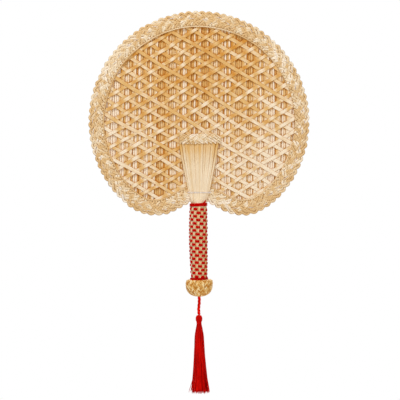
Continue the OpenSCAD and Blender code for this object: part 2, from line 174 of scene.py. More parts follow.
class Bundle:
    """Straws that become one mesh."""

    def __init__(self, name):
        self.name = name
        self.points = []
        self.faces = []
        self.uvs = []
        self.tones = []
        self.flanks = []
        self.count = 0

    def lay(self, line, up, width, thickness, tone=0.5, sides=6, square=1.0, tip=0.0, cup=0.0,
            shaded_side=0.0, front_shade=0.0):
        """One straw along a line, its wide side turned towards up. Lengths in millimetres.

        cup lifts its flanks, as on a split straw that shows its hollow side. shaded_side paints
        one flank riper and the other paler, painted shade and light, and front_shade paints shade
        on the side turned towards up only."""
        line = np.asarray(line, float)
        steps = len(line) - 1
        shape = blank(steps, sides, square)
        along = unit(np.gradient(line, axis=0))
        up = np.broadcast_to(np.asarray(up, float), line.shape)
        up = unit(up - (up * along).sum(1, keepdims=True) * along)
        across = np.cross(up, along)
        width = np.broadcast_to(np.asarray(width, float), (steps + 1,)) / 2
        thickness = np.broadcast_to(np.asarray(thickness, float), (steps + 1,)) / 2
        if tip:
            ends = np.minimum(np.arange(steps + 1), np.arange(steps + 1)[::-1])
            narrow = np.where(ends == 0, tip, 1.0)
            width = width * narrow
            thickness = thickness * narrow
        k = shape["ring"]
        self.points.append(
            line[k]
            + across[k] * (shape["across"] * width[k])[:, None]
            + up[k] * (shape["up"] * thickness[k] + cup * (shape["across"] ** 2 - 0.4))[:, None]
        )
        walked = np.linalg.norm(np.diff(line, axis=0), axis=1).sum()
        self.uvs.append(shape["uv"] * [walked, 2 * (width.max() + thickness.max())])
        self.faces += [[i + self.count for i in face] for face in shape["faces"]]
        ripeness = np.broadcast_to(np.asarray(tone, float), (steps + 1,))
        front = np.broadcast_to(np.asarray(front_shade, float), (steps + 1,))
        facing = np.clip(1.4 * shape["up"], 0, 1)
        # Painted shade is added to the tone here: on one flank, and on the side turned up.
        self.tones.append(ripeness[k] + shaded_side * shape["across"] + front[k] * facing)
        self.flanks.append(np.abs(shape["across"]))
        self.count += len(k)

    def build(self, material, body, slot, *nodes, bend=None):
        """The mesh, in metres, in place of the CAD nodes. It rides on its body, unless bend is
        given: then it stays where it is, unattached.
        """
        mesh = bpy.data.meshes.new(self.name)
        mesh.from_pydata((np.concatenate(self.points) * MM).tolist(), [], self.faces)
        mesh.uv_layers.new(name="UVMap").data.foreach_set("uv", np.concatenate(self.uvs).ravel())
        for name, values in (("tone", self.tones), ("flank", self.flanks)):
            layer = mesh.attributes.new(name, "FLOAT", "POINT")
            layer.data.foreach_set("value", np.concatenate(values))
        mesh.polygons.foreach_set("use_smooth", [True] * len(mesh.polygons))
        mesh.materials.append(material)
        piece = bpy.data.objects.new(self.name, mesh)
        bpy.context.collection.objects.link(piece)
        if bend:
            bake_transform(piece)
        else:
            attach(piece, body)
        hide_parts(*nodes)
        triangles = sum(len(f) - 2 for f in self.faces)
        print(self.name, "has", len(self.points), "straws and", triangles, "triangles")
        return piece


# %% [markdown]
# ## Colours and nodes
#
# Colours are written as they look on a screen and turned to linear light by one function.
# One small function adds a shader node, sets its values and joins its inputs, so that a
# material reads as a list of what it is made of.

# %% Colour and node helpers


def linear(code):
    """Linear RGBA of an sRGB hex code."""
    parts = [int(code[i:i + 2], 16) / 255 for i in (1, 3, 5)]
    return [p / 12.92 if p <= 0.04045 else ((p + 0.055) / 1.055) ** 2.4 for p in parts] + [1.0]


def add(tree, kind, inputs=None, ramp=None, **settings):
    """Adds a node. An input is a value, or a socket of another node to join."""
    made = tree.nodes.new(kind)
    for name, value in settings.items():
        setattr(made, name, value)
    for name, value in (inputs or {}).items():
        if isinstance(value, bpy.types.NodeSocket):
            tree.links.new(value, made.inputs[name])
        else:
            made.inputs[name].default_value = value
    if ramp:
        stops = made.color_ramp.elements
        while len(stops) < len(ramp):
            stops.new(0.5)
        for stop, (place, colour) in zip(stops, ramp):
            stop.position = place
            stop.color = colour
    return made


def material(name):
    """An empty material and its tree, with the output node."""
    made = bpy.data.materials.new(name)
    made.use_nodes = True
    made.node_tree.nodes.clear()
    return made, made.node_tree


# %% [markdown]
# ## Straw
#
# Dried grass straw has a waxy skin that shines a little along its length, fine fibres, and a
# colour that runs from cream to ripe gold, with brown where a stalk was scorched. So the colour
# is mixed from three things: the straw's tone, which in places also carries painted light and
# shade, long thin noise along the UV map for the fibres, and the flank mark, which paints the
# shade of the cracks where straws meet in brown. The fibres also make the bump. Real fibres are
# 0.1 mm apart; here they are drawn 0.45 to 1.2 mm wide, so that they still show when one pixel
# is 1.3 mm. Light passes through thin straw; the material glows faintly, a painted glow that
# stands for that light and fills the straw's shade with a warm colour.

# %% Straw materials


# The colour of the painted glow, which stands for light passing through the straw.
STRAW_GLOW = "#DC9418"


def straw(name, pale, mid, ripe, crack, crack_from, roughness, shine, fibre=0.45, bump=0.25,
          patch=0.5, lit=0.1):
    """Split or whole dried straw. fibre is a fibre's width in mm, crack_from is where on the
    flank the crack's painted shade starts, patch is how blotchy it is and lit is how much it
    glows, a painted glow."""
    made, tree = material(name)
    uv = add(tree, "ShaderNodeUVMap", uv_map="UVMap")
    tone = add(tree, "ShaderNodeAttribute", attribute_name="tone")
    flank = add(tree, "ShaderNodeAttribute", attribute_name="flank")
    place = add(tree, "ShaderNodeTexCoord")
    thin = add(
        tree, "ShaderNodeMapping",
        {"Vector": uv.outputs["UV"], "Scale": (0.03 / fibre, 1.0 / fibre, 1.0)},
    )
    shifted = add(tree, "ShaderNodeCombineXYZ", {"Z": tone.outputs["Fac"]})
    moved = add(
        tree, "ShaderNodeVectorMath",
        {0: thin.outputs["Vector"], 1: shifted.outputs["Vector"]},
        operation="ADD",
    )
    fibres = add(
        tree, "ShaderNodeTexNoise",
        {"Vector": moved.outputs["Vector"], "Scale": 1.0, "Detail": 3.0, "Roughness": 0.6},
    )
    patches = add(
        tree, "ShaderNodeTexNoise",
        {"Vector": place.outputs["Object"], "Scale": 90.0, "Detail": 2.0, "Roughness": 0.5},
    )
    mixed = add(
        tree, "ShaderNodeMath",
        {0: fibres.outputs["Fac"], 1: 0.55, 2: -0.275}, operation="MULTIPLY_ADD",
    )
    spotted = add(
        tree, "ShaderNodeMath",
        {0: patches.outputs["Fac"], 1: patch, 2: mixed.outputs["Value"]}, operation="MULTIPLY_ADD",
    )
    summed = add(
        tree, "ShaderNodeMath",
        {0: tone.outputs["Fac"], 1: 0.75, 2: spotted.outputs["Value"]}, operation="MULTIPLY_ADD",
    )
    skin = add(
        tree, "ShaderNodeValToRGB", {"Fac": summed.outputs["Value"]},
        ramp=[(0.15, linear(pale)), (0.55, linear(mid)), (1.0, linear(ripe))],
    )
    # Painted shade: the straw's flanks, where straws meet in cracks, are mixed towards the crack
    # colour.
    edge = add(
        tree, "ShaderNodeMapRange",
        {"Value": flank.outputs["Fac"], "From Min": crack_from, "From Max": 1.0},
        interpolation_type="SMOOTHSTEP",
    )
    crack_shaded = add(
        tree, "ShaderNodeMix",
        {0: edge.outputs["Result"], 6: skin.outputs["Color"], 7: linear(crack)}, data_type="RGBA",
    )
    relief = add(
        tree, "ShaderNodeBump",
        {"Height": fibres.outputs["Fac"], "Strength": bump, "Distance": 0.15 * MM},
    )
    surface = add(
        tree, "ShaderNodeBsdfPrincipled",
        {
            "Base Color": crack_shaded.outputs[2], "Roughness": roughness, "IOR": 1.5,
            "Specular IOR Level": 0.2,
            "Normal": relief.outputs["Normal"], "Coat Weight": shine, "Coat Roughness": 0.25,
            "Emission Color": linear(STRAW_GLOW), "Emission Strength": lit,
        },
    )
    add(tree, "ShaderNodeOutputMaterial", {"Surface": surface.outputs["BSDF"]})
    return made


upright_straw = straw(
    "upright_straw_dried", "#F3E3CA", "#D8AE6C", "#BC7420", "#9A4808", 0.62, 0.42, 0.05, patch=0.3,
)
split_strip = straw(
    "split_straw_scraped", "#EFDFC4", "#DAB274", "#C88834", "#B0661A", 0.84, 0.5, 0.03,
    fibre=0.9, patch=0.45, bump=0.4,
)
plait_straw = straw(
    "plaited_straw_pressed", "#FBF0E0", "#EAD6B4", "#D8B480", "#C08640", 0.86, 0.5, 0.03,
    fibre=1.2, patch=0.8, lit=0.07,
)
neck_straw = straw(
    "bleached_straw_polished", "#F3E3C8", "#E4CBA4", "#D6A65A", "#BE822C", 0.74, 0.36, 0.12,
    patch=0.3, lit=0.07,
)
pommel_straw = straw(
    "pommel_straw_scorched", "#FBEABA", "#E8C078", "#BA7A28", "#8A4810", 0.6, 0.5, 0.05,
    patch=0.6, lit=0.12,
)
print("straw materials:", [m.name for m in bpy.data.materials if "straw" in m.name])

# %% [markdown]
# ## Yarn, thread and split cane
#
# The red yarn is dyed, twisted and a little shiny, so its bump runs slantwise round it and a
# sheen lifts its edges. The tassel's floss is finer and glossier. The sewing thread is clear
# drawn nylon, which shows only as cool glints. The hoop, the stick and the plug are split
# cane, seen only in slits.

# %% Yarn, thread and cane materials


def yarn(name, light, dark, ply, roughness, sheen, gloss):
    """Twisted red yarn. ply is the width of one ply in mm."""
    made, tree = material(name)
    uv = add(tree, "ShaderNodeUVMap", uv_map="UVMap")
    tone = add(tree, "ShaderNodeAttribute", attribute_name="tone")
    slant = add(
        tree, "ShaderNodeMapping",
        {"Vector": uv.outputs["UV"], "Rotation": (0, 0, 0.6), "Scale": (1 / ply, 1 / ply, 1)},
    )
    twist = add(
        tree, "ShaderNodeTexWave",
        {"Vector": slant.outputs["Vector"], "Scale": 0.5, "Distortion": 1.5, "Detail": 2.0},
    )
    fuzz = add(
        tree, "ShaderNodeTexNoise",
        {"Vector": slant.outputs["Vector"], "Scale": 2.0, "Detail": 3.0},
    )
    shade = add(
        tree, "ShaderNodeMath",
        {0: twist.outputs["Fac"], 1: 0.35, 2: tone.outputs["Fac"]}, operation="MULTIPLY_ADD",
    )
    deep = add(
        tree, "ShaderNodeMath",
        {0: fuzz.outputs["Fac"], 1: 0.3, 2: shade.outputs["Value"]}, operation="MULTIPLY_ADD",
    )
    dyed = add(
        tree, "ShaderNodeValToRGB", {"Fac": deep.outputs["Value"]},
        ramp=[(0.25, linear(dark)), (1.1 / 1.3, linear(light))],
    )
    relief = add(
        tree, "ShaderNodeBump",
        {"Height": twist.outputs["Fac"], "Strength": 0.4, "Distance": 0.2 * MM},
    )
    surface = add(
        tree, "ShaderNodeBsdfPrincipled",
        {
            "Base Color": dyed.outputs["Color"], "Roughness": roughness, "IOR": 1.5,
            "Sheen Weight": sheen, "Sheen Roughness": 0.4, "Sheen Tint": linear(light),
            "Specular IOR Level": gloss, "Specular Tint": linear(light),
            "Normal": relief.outputs["Normal"],
        },
    )
    add(tree, "ShaderNodeOutputMaterial", {"Surface": surface.outputs["BSDF"]})
    return made


red_yarn = yarn("red_yarn_twisted", "#DC0804", "#9C0202", 0.6, 0.6, 0.05, 0.1)
red_cord = yarn("red_cord_plied", "#F01406", "#C40602", 1.0, 0.6, 0.05, 0.1)
red_floss = yarn("red_floss_loose", "#E01008", "#8C0202", 0.4, 0.55, 0.05, 0.15)


def nylon(name):
    """Clear drawn nylon: a pale, cool, glossy thread."""
    made, tree = material(name)
    place = add(tree, "ShaderNodeTexCoord")
    wave = add(tree, "ShaderNodeTexNoise", {"Vector": place.outputs["Object"], "Scale": 400.0})
    tint = add(
        tree, "ShaderNodeValToRGB", {"Fac": wave.outputs["Fac"]},
        ramp=[(0.3, linear("#E8E4EC")), (0.7, linear("#FAF8FC"))],
    )
    surface = add(
        tree, "ShaderNodeBsdfPrincipled",
        {"Base Color": tint.outputs["Color"], "Roughness": 0.18, "IOR": 1.53, "Alpha": 0.6},
    )
    add(tree, "ShaderNodeOutputMaterial", {"Surface": surface.outputs["BSDF"]})
    return made


nylon_thread = nylon("nylon_thread_drawn")


def cane(name):
    """Split cane with a long grain, about 1 mm wide."""
    made, tree = material(name)
    place = add(tree, "ShaderNodeTexCoord")
    grain = add(
        tree, "ShaderNodeMapping",
        {"Vector": place.outputs["Object"], "Scale": (900.0, 900.0, 60.0)},
    )
    noise = add(tree, "ShaderNodeTexNoise", {"Vector": grain.outputs["Vector"], "Scale": 1.0})
    wood = add(
        tree, "ShaderNodeValToRGB", {"Fac": noise.outputs["Fac"]},
        ramp=[(0.3, linear("#A87434")), (0.7, linear("#D2A565"))],
    )
    surface = add(
        tree, "ShaderNodeBsdfPrincipled",
        {"Base Color": wood.outputs["Color"], "Roughness": 0.6, "IOR": 1.5},
    )
    add(tree, "ShaderNodeOutputMaterial", {"Surface": surface.outputs["BSDF"]})
    return made


split_cane = cane("split_cane_shaved")
for name in ("rim_hoop", "handle_core", "pommel_core"):
    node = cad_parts[name]
    node.data.materials.clear()
    node.data.materials.append(split_cane)
print("hoop, stick and plug are split cane")

# %% [markdown]
# ## The tassel cord
#
# A red cord of three plies leaves the pommel's mouth and hangs to the tassel's head, with a
# slight bow to the left. The photograph shows it from end to end: 24 mm. Inside the pommel it
# goes on to its stopper knot. It is a tube whose section has three lobes that turn as they
# go, as three twisted plies do, so it is laid from a round blank and then pressed into plies.

# %% Cord
rng = np.random.default_rng(11)
HALF_HANDLE = 49.8
POMMEL_H = 21.6
MOUTH_Z = -HALF_HANDLE - POMMEL_H
BEND = 2.4
CORD_TOP_Z = MOUTH_Z - BEND
HEAD_Z = -95.4
CORD_D = 3.8
CORD_STEPS = 60
CORD_SIDES = 12
PLIES = 3
cord_points = [
    (0, 0, -46.0), (0, 0, -60.0), (0.2, 0, MOUTH_Z), (0.4, 0, -76.0), (0.3, 0, -80.5),
    (-0.2, 0, -84.5), (-0.5, 0, -88.0), (-0.2, 0, -92.0), (0.2, 0, HEAD_Z),
]
cord_line = resample(cord_points, CORD_STEPS)
cord = Bundle("tassel_cord_plied")
cord.lay(cord_line, (0, -1, 0), CORD_D, CORD_D, tone=0.6, sides=CORD_SIDES, tip=0.6)
ring = blank(CORD_STEPS, CORD_SIDES)["ring"]
spoke = cord.points[0] - cord_line[ring]
twist = np.arctan2(spoke[:, 1], spoke[:, 0]) + ring * 0.35
lobes = 1.0 + 0.1 * np.cos(PLIES * twist)
cord.points[0] = cord_line[ring] + spoke * lobes[:, None]
cord_piece = cord.build(
    red_cord, "cord", "red_yarn", "tassel_cord", "cord_knot",
    bend=("fan", "cord", (0, 0, (CORD_TOP_Z + BEND) * MM), (0, 0, (CORD_TOP_Z - BEND) * MM)),
)

# %% [markdown]
# ## The blade's outline
#
# The rim follows one formula: a circle that dips in above the handle. Points of the rim are
# given by how far one has gone round it and how far out from its middle line one is, so that
# the plait can be made straight and then bent round. The same formula tells where the straws
# and strips of the blade end, under the rim.

# %% Outline
BLADE_R = 143.5
NECK_DIP = 41.5
DIP_SPREAD = 20.0
RIM_W = 19.5
RIM_GAP = 0.3
HANDLE_R = 11.0


def edge_r(t):
    """The outer radius at t degrees from straight down."""
    return BLADE_R - NECK_DIP * np.exp(-(t / DIP_SPREAD) ** 2)


def edge_d(t):
    """How fast that radius grows with the angle, in mm a radian."""
    return NECK_DIP * np.exp(-(t / DIP_SPREAD) ** 2) * 2 * t / DIP_SPREAD ** 2 * 180 / math.pi


beside = math.asin((HANDLE_R + 1) / edge_r(math.degrees(math.asin((HANDLE_R + 1) / edge_r(0)))))
BLADE_Z = HALF_HANDLE + RIM_GAP + edge_r(math.degrees(beside)) * math.cos(beside)


def edge_point(t, inset):
    """X and Z of the rim at t degrees from straight down, inset from its outer edge."""
    r, d = edge_r(t), edge_d(t)
    s, c = np.sin(np.radians(t)), np.cos(np.radians(t))
    size = np.hypot(r, d)
    out = np.stack([(r * s - d * c) / size, (-r * c - d * s) / size], -1)
    return np.stack([r * s, BLADE_Z - r * c], -1) - np.asarray(inset)[..., None] * out


def inside(x, z, inset):
    """Whether a point lies further in than the inset."""
    t = np.degrees(np.arctan2(x, -(z - BLADE_Z)))
    r = edge_r(t)
    return np.hypot(x, z - BLADE_Z) < r - inset * np.hypot(r, edge_d(t)) / r


t_fine = np.linspace(-180, 180, 3601)
middle = edge_point(t_fine, np.full(t_fine.shape, RIM_W / 2))
s_fine = np.concatenate([[0], np.cumsum(np.linalg.norm(np.diff(middle, axis=0), axis=1))])
RIM_LENGTH = s_fine[-1]


def round_rim(s, w, y):
    """Straight plait to rim: s along, w out from the middle line, y the depth."""
    t = np.interp(s, s_fine, t_fine)
    flat = edge_point(t, RIM_W / 2 - np.asarray(w))
    return np.stack([flat[..., 0], np.broadcast_to(y, flat.shape[:-1]), flat[..., 1]], -1)


print("rim is", round(RIM_LENGTH), "mm round, blade centre at", round(BLADE_Z, 1), "mm")

# %% [markdown]
# ## The layout of the weave
#
# The weave's holes come in columns, and two sets of slanting lines cross between them. The
# straws behind need this layout too, since they carry a painted shadow of the strips: their
# tone is made riper beside the strips. Made by hand, the columns lean, more so at the left,
# and every line strays a little.

# %% Layout of the weave
COLUMN = 14.4
RISE = 17.5
STRIP_W = 4.5
SLOPE = RISE / (2 * COLUMN)
SIDE = 1.35
CROSS_X = SIDE - COLUMN / 2
CROSS_Z = BLADE_Z + 5.75 * RISE
SHADED = 1.9


def wander(x, z):
    """How far the weave has been pulled out of true at a point, in X and Z."""
    left = np.clip((-x - 20) / 110, 0, 1)
    down = (BLADE_Z + 60 - z) / 100
    pulled = -7.0 * left * np.clip(down, -0.6, 1.5)
    dx = pulled + 0.8 * np.sin(x / 31 + z / 47) + 0.5 * np.sin(z / 13 + x / 9)
    dz = 0.9 * np.sin(x / 27 - z / 39) + 0.4 * np.sin(x / 11 + 1.3)
    return dx, dz


def strip_shade(x, z):
    """Painted shadow of the strips on the straws behind: one right beside the strips in front
    of a point, nought in mid hole.
    """
    off_x, off_z = wander(x, z)
    x, z = x - off_x, z - off_z
    columns = (x - SIDE) / COLUMN
    gaps = [np.abs(columns - np.round(columns)) * COLUMN]
    for way in (-1, 1):
        lines = (z - CROSS_Z - way * SLOPE * (x - CROSS_X)) / RISE
        gaps.append(np.abs(lines - np.round(lines)) * RISE / math.hypot(1, SLOPE))
    return np.clip(1 - (np.min(gaps, 0) - STRIP_W / 2) / SHADED, 0, 1)


# %% [markdown]
# ## The upright straws
#
# Behind the weave, whole straws stand side by side and touch, so that no light comes through
# between them. Each is laid on its own, a little out of true, as dried stalks are, and runs
# under the rim at both ends. The blade is made paler at its sides and towards the handle, and
# that goes for the weave in front of the straws too. In front the straws are painted riper
# beside the strips, a painted shadow of the strips; their backs get no painted shadow.

# %% Upright straws
STRAW_Y = 1.0
STRAW_PITCH = 2.85
STRAW_T = 2.3
STRAW_STEPS = 100
TUCKED = RIM_W - 9.0


def span(x, z0, dx, dz, inset):
    """The first and last distance at which a line from (x, z0) is inside the inset."""
    far = np.linspace(-320, 320, 6401)
    held = inside(x + far * dx, z0 + far * dz, inset)
    return (far[held].min(), far[held].max()) if held.any() else None


def paleness(x, z):
    """How much paler the blade is at a point, as a change of tone."""
    side = np.clip((np.abs(x) - 50) / 70, 0, 1)
    low = np.clip((215 - z) / 110, 0, 1)
    return 0.25 * side + low * (0.33 + 0.2 * np.clip(x / 40, -0.5, 1)) - 0.1


backs = Bundle("upright_straws")
for i in range(-46, 47):
    x = i * STRAW_PITCH
    ends = span(x, BLADE_Z, 0, 1, TUCKED)
    if ends is None:
        continue
    z = np.linspace(BLADE_Z + ends[0], BLADE_Z + ends[1], STRAW_STEPS + 1)
    sway = 0.5 * np.sin(z / 29 + x / 41)
    sway = sway + 0.06 * np.sin(z / rng.uniform(18, 40) + rng.uniform(0, 6.3))
    xs = x + rng.normal(0, 0.08) + sway
    ys = np.full_like(z, STRAW_Y + (0.3 if i % 2 else -0.1) + rng.uniform(-0.1, 0.1))
    wide = rng.uniform(2.8, 3.1) if i % 2 == 0 else rng.uniform(3.5, 3.8)
    tone = rng.uniform(0, 1) - paleness(xs, z) - 0.05
    # Painted shadow of the strips: the straws' fronts are made riper beside the strips.
    backs.lay(
        np.stack([xs, ys, z], 1), (0, -1, 0), wide, STRAW_T, tone=tone, sides=8,
        front_shade=0.75 * strip_shade(xs, z) - 0.15,
    )
backs.build(upright_straw, "fan", "straw", "back_straws")

# %% [markdown]
# ## The open hexagonal weave
#
# Three sets of split strips cross so that they leave six-sided holes: uprights, strips that
# rise to the right, and strips that fall to the right. The photograph mostly shows rising
# strips over falling ones, so these lie behind, but every third falling strip is laid over
# the rising ones. The uprights show only as small triangles beside the holes, so they lie at
# the back. A strip comes forward or sinks a little at its crossings, a cosine along it, and
# its tone is painted paler where it comes forward and riper where it sinks: painted light and
# shade. The strips show the straw's hollow side, so their flanks are turned up: that lights
# the right half of each upright, and its left half is also painted riper, a painted shade.
# Every other upright is paler, and every strip changes tone on its way.

# %% Hexagonal weave
UPRIGHT_Y = -0.75
FALLING_Y = -1.15
RISING_Y = -1.45
ON_TOP = 0.6
WAVE = 0.12
STRIP_T = 0.4
SHORTEST = 12
STEP = 2.1


def strip(bundle, x0, z0, dx, dz, layer, phase, tone, crossing_shade, cup, shaded_side=0.0, spread=0.3):
    """One strip through a point. It comes forward where the cosine of its phase is one, and
    is wider by its spread at the right."""
    ends = span(x0, z0, dx, dz, TUCKED)
    if ends is None or ends[1] - ends[0] < SHORTEST:
        return
    steps = max(8, int((ends[1] - ends[0]) / STEP))
    far = np.linspace(ends[0], ends[1], steps + 1)
    x, z = x0 + far * dx, z0 + far * dz
    wave = np.cos(phase(x, z))
    y = layer - WAVE * wave
    off_x, off_z = wander(x, z)
    wide = STRIP_W * rng.uniform(0.94, 1.08) * (1 + 0.05 * np.sin(far / 17 + rng.uniform(0, 6)))
    wide = wide + spread * np.clip((x - 20) / 60, 0, 1)
    bow = rng.normal(0, 0.3) + 0.4 * np.sin(far / 23 + rng.uniform(0, 6))
    line = np.stack([x + off_x - bow * dz, y, z + off_z + bow * dx], 1)
    drift = 0.15 * np.sin(far / rng.uniform(9, 21) + rng.uniform(0, 6.3))
    # Painted light and shade: the tone is paler where the strip comes forward, riper where it
    # sinks.
    tones = tone - paleness(x, z) + drift - crossing_shade * wave
    bundle.lay(
        line, (0, -1, 0), wide, STRIP_T, tone=tones, sides=10, square=0.55, cup=cup,
        shaded_side=shaded_side,
    )


uprights = Bundle("weave_uprights")
rising = Bundle("weave_rising")
falling = Bundle("weave_falling")
for m in range(-9, 10):
    # The last number paints each upright's left half riper, a painted shade.
    strip(
        uprights, m * COLUMN + SIDE, BLADE_Z, 0, 1, UPRIGHT_Y,
        lambda x, z: 2 * math.pi * (z - CROSS_Z) / RISE - math.pi * (m + 0.5),
        0.35 + 0.25 * (m % 2) + rng.uniform(-0.1, 0.1), 0.1, 0.45, 0.4, 1.7,
    )
run = math.hypot(1, SLOPE)
for k in range(-20, 12):
    z_axis = CROSS_Z + k * RISE
    falling_y = FALLING_Y - ON_TOP * (k % 3 == 0)
    for bundle, way, layer, under, crossing_shade in (
        (rising, 1, RISING_Y, 0, 0.35), (falling, -1, falling_y, math.pi, 0.1),
    ):
        z0 = z_axis - way * SLOPE * CROSS_X
        near = way * (BLADE_Z - z0) * SLOPE / run ** 2
        strip(
            bundle, near, z0 + way * SLOPE * near, 1 / run, way * SLOPE / run, layer,
            lambda x, z: 2 * math.pi * (x - CROSS_X) / COLUMN + under,
            rng.uniform(0.3, 0.6), crossing_shade, 0.2,
        )
uprights.build(split_strip, "fan", "split_straw", "lattice_uprights")
rising.build(split_strip, "fan", "split_straw", "lattice_rising")
falling.build(split_strip, "fan", "split_straw", "lattice_falling")

# %% [markdown]
# ## The plaited rim
#
# The rim is a flat plait of five strands, each of two straws side by side. Every strand goes
# slantwise from one edge to the other, over one strand and under the next, folds over at the
# edge and comes back: the folds are the bumps of the outline. Flat straws laid along the rim
# line it, so that its small gaps show straw. A straight plait could be bent round with a
# Curve modifier, but then all its straws would be alike. Here each run from fold to fold is
# laid on its own along the bent line, so widths, heights and tones can differ.

# %% Plait
STRANDS = 5
STRAWS = 2
FOLD_ROUND = 0.97
BUMPS = 96
PLAIT_Y = 2.75
LINING_Y = 2.0
LENGTHS = 8


def plait(bundle, width, pitch, count, straw_w, straw_t, rise, place, up_at,
          steps=36, jitter=1.0, tones=(0, 1), turn_in=0.2):
    """Lays a flat plait of strands of straws. place(s, w, h) bends it, h being the height
    above its middle. turn_in is how far a fold leans along the plait."""
    reach = (width - STRAWS * straw_w) / 2
    period = STRANDS * pitch
    phase = np.linspace(0, 2 * math.pi, steps + 1)
    zig = reach * np.arcsin(FOLD_ROUND * np.sin(phase - math.pi / 2)) / math.asin(FOLD_ROUND)
    along = period * (phase - turn_in * np.sin(2 * phase)) / (2 * math.pi)
    slope = np.gradient(zig, along)
    normal = np.stack([-slope, np.ones_like(slope)], 1)
    normal /= np.linalg.norm(normal, axis=1, keepdims=True)
    for i in range(count):
        shade = rng.uniform(*tones)
        lift = rng.normal(0, 0.12) * rise * jitter
        for j in range(STRAWS):
            off = (j - (STRAWS - 1) / 2) * straw_w
            s = i * pitch + along + off * normal[:, 0] + rng.normal(0, 0.25 * jitter)
            w = zig + off * normal[:, 1] + rng.normal(0, 0.15 * jitter)
            cell = (zig / (2 * reach) + 0.5) * STRANDS / 2
            up_way = np.cos(math.pi * (along / pitch + cell))
            down_way = -np.cos(math.pi * (along / pitch - cell + STRANDS))
            wave = np.where(phase < math.pi, up_way, down_way)
            fold = np.clip((np.abs(zig) / reach - 0.8) / 0.2, 0, 1)
            h = rise * wave * (1 - fold ** 2) + lift
            wide = straw_w * rng.uniform(0.88, 1.12)
            wide = wide * (1 + 0.1 * jitter * np.sin(along / 1.3 + rng.uniform(0, 6)))
            h = h + 0.1 * jitter * np.sin(along / 1.7 + rng.uniform(0, 6))
            line = place(s, w, h)
            tone = np.clip(shade + rng.normal(0, 0.12), 0, 1)
            bundle.lay(line, up_at, wide, straw_t, tone=tone, square=0.8)


rim_pitch = RIM_LENGTH / BUMPS
for name, way, node in (
    ("rim_plait_front", -1, "rim_braid_front"),
    ("rim_plait_back", 1, "rim_braid_back"),
):
    rim = Bundle(name)
    plait(
        rim, RIM_W + 0.4, rim_pitch, BUMPS, 3.0, 0.95, 0.5,
        lambda s, w, h: round_rim(np.mod(s, RIM_LENGTH), w, way * (PLAIT_Y + h)), (0, way, 0),
    )
    for i in range(LENGTHS):
        for w in (-5.6, 3.8):
            s = np.linspace(i - 0.5, i + 0.5, 60) * RIM_LENGTH / LENGTHS
            line = round_rim(np.mod(s, RIM_LENGTH), w, way * LINING_Y)
            rim.lay(line, (0, way, 0), 8.0, 0.5, tone=0.7, sides=8, square=0.4)
    rim.build(plait_straw, "fan", "plaited_straw", node)

# %% [markdown]
# ## Edging and sewing
#
# A thin split straw covers the ends of the weave along the inner edge of the rim. It is laid
# in eight overlapping lengths, as straws are only so long. At the right it sinks behind the
# plait, and at the left its tone is painted riper, so that it shows as a thin brown line of
# painted shadow. Clear nylon holds the plaits together: short slanting stitches lie on the
# rim, and show as cool glints.

# %% Edging and stitches
for name, way, node in (
    ("edging_straw_front", -1, "edging_front"),
    ("edging_straw_back", 1, "edging_back"),
):
    edging = Bundle(name)
    for i in range(LENGTHS):
        s = np.linspace(i - 0.56, i + 0.56, 60) * RIM_LENGTH / LENGTHS
        right = np.exp(-((s / RIM_LENGTH - 0.76) / 0.13) ** 2)
        w = -RIM_W / 2 - 0.35 + 1.2 * right + 0.25 * np.sin(s / 19 + i) + 0.15 * rng.normal()
        line = round_rim(np.mod(s, RIM_LENGTH), w, way * (2.6 - 0.5 * right + 0.12 * (i % 2)))
        # Painted shade: the edging's tone is riper round the left, where the rim's thin shadow
        # line falls.
        left = np.exp(-((s / RIM_LENGTH - 0.27) / 0.14) ** 2)
        tone = rng.uniform(0.3, 0.8) + 0.8 * left
        edging.lay(line, (0, way, 0), 1.9, 0.9, tone=tone, tip=0.4)
    edging.build(plait_straw, "fan", "split_straw", node)

STITCHES = 54
STITCH_Y = 3.35
NECK_FREE = 30
stitches = Bundle("rim_stitches_nylon")
for way in (-1, 1):
    for i in range(STITCHES):
        s0 = (i + rng.uniform(0.2, 0.8)) * RIM_LENGTH / STITCHES
        if abs(s0 - RIM_LENGTH / 2) < NECK_FREE:
            continue
        s = s0 + np.linspace(-0.5, 0.5, 8) * rng.uniform(5, 8)
        slant = rng.uniform(-0.1, 0.45)
        w = rng.uniform(-1.5, 5.0) + (s - s0) * slant
        arch = 1 - np.linspace(-1, 1, 8) ** 2
        line = round_rim(np.mod(s, RIM_LENGTH), w, way * (STITCH_Y + 0.55 * arch))
        stitches.lay(line, (0, way, 0), 0.6, 0.45, tone=0.5, sides=5)
stitches.build(nylon_thread, "fan", "nylon", "rim_stitches")

# %% [markdown]
# ## Handle straws and their fan
#
# Fifteen flattened straws stand round the stick. Each is two narrow ribs side by side. At the
# neck eight go up the front and seven up the back, where they spread over the blade as a
# small fan. The handle is bound by hand: it swells in the middle and its straws twist a
# little, so the ribs follow a swelling radius and a slowly turning angle.

# %% Handle shape
WARPS = 15
FRONT_WARPS = 8
WARP_TURN = 360 / WARPS
RIB_TURN = 11.5
WARP_R = 9.65
ROW = 4.58
FIRST_ROW_Z = 41.9
HANDLE_Z = [-50, -40, -25, 0, 22, 36, 50]
SWELL = [-0.6, -0.3, 0.35, 0.85, 0.8, 0.4, 0.0]
SHIFT = [0.1, 0.0, -0.4, -0.9, -1.0, -0.9, -0.6]
TURN = [-32, -29, -25, -19, -13.5, -10, -7]


def handle_point(turn, r, z):
    """A point of the handle: turn in degrees from the front, r before the swelling."""
    a = np.radians(turn + np.interp(z, HANDLE_Z, TURN))
    far = r + np.interp(z, HANDLE_Z, SWELL)
    x = far * np.sin(a) + np.interp(z, HANDLE_Z, SHIFT)
    return np.stack([x, -far * np.cos(a), z], -1)


def handle_out(turn, z):
    """The handle's outward direction there."""
    a = np.radians(turn + np.interp(z, HANDLE_Z, TURN))
    return np.stack([np.sin(a), -np.cos(a), np.zeros_like(a)], -1)


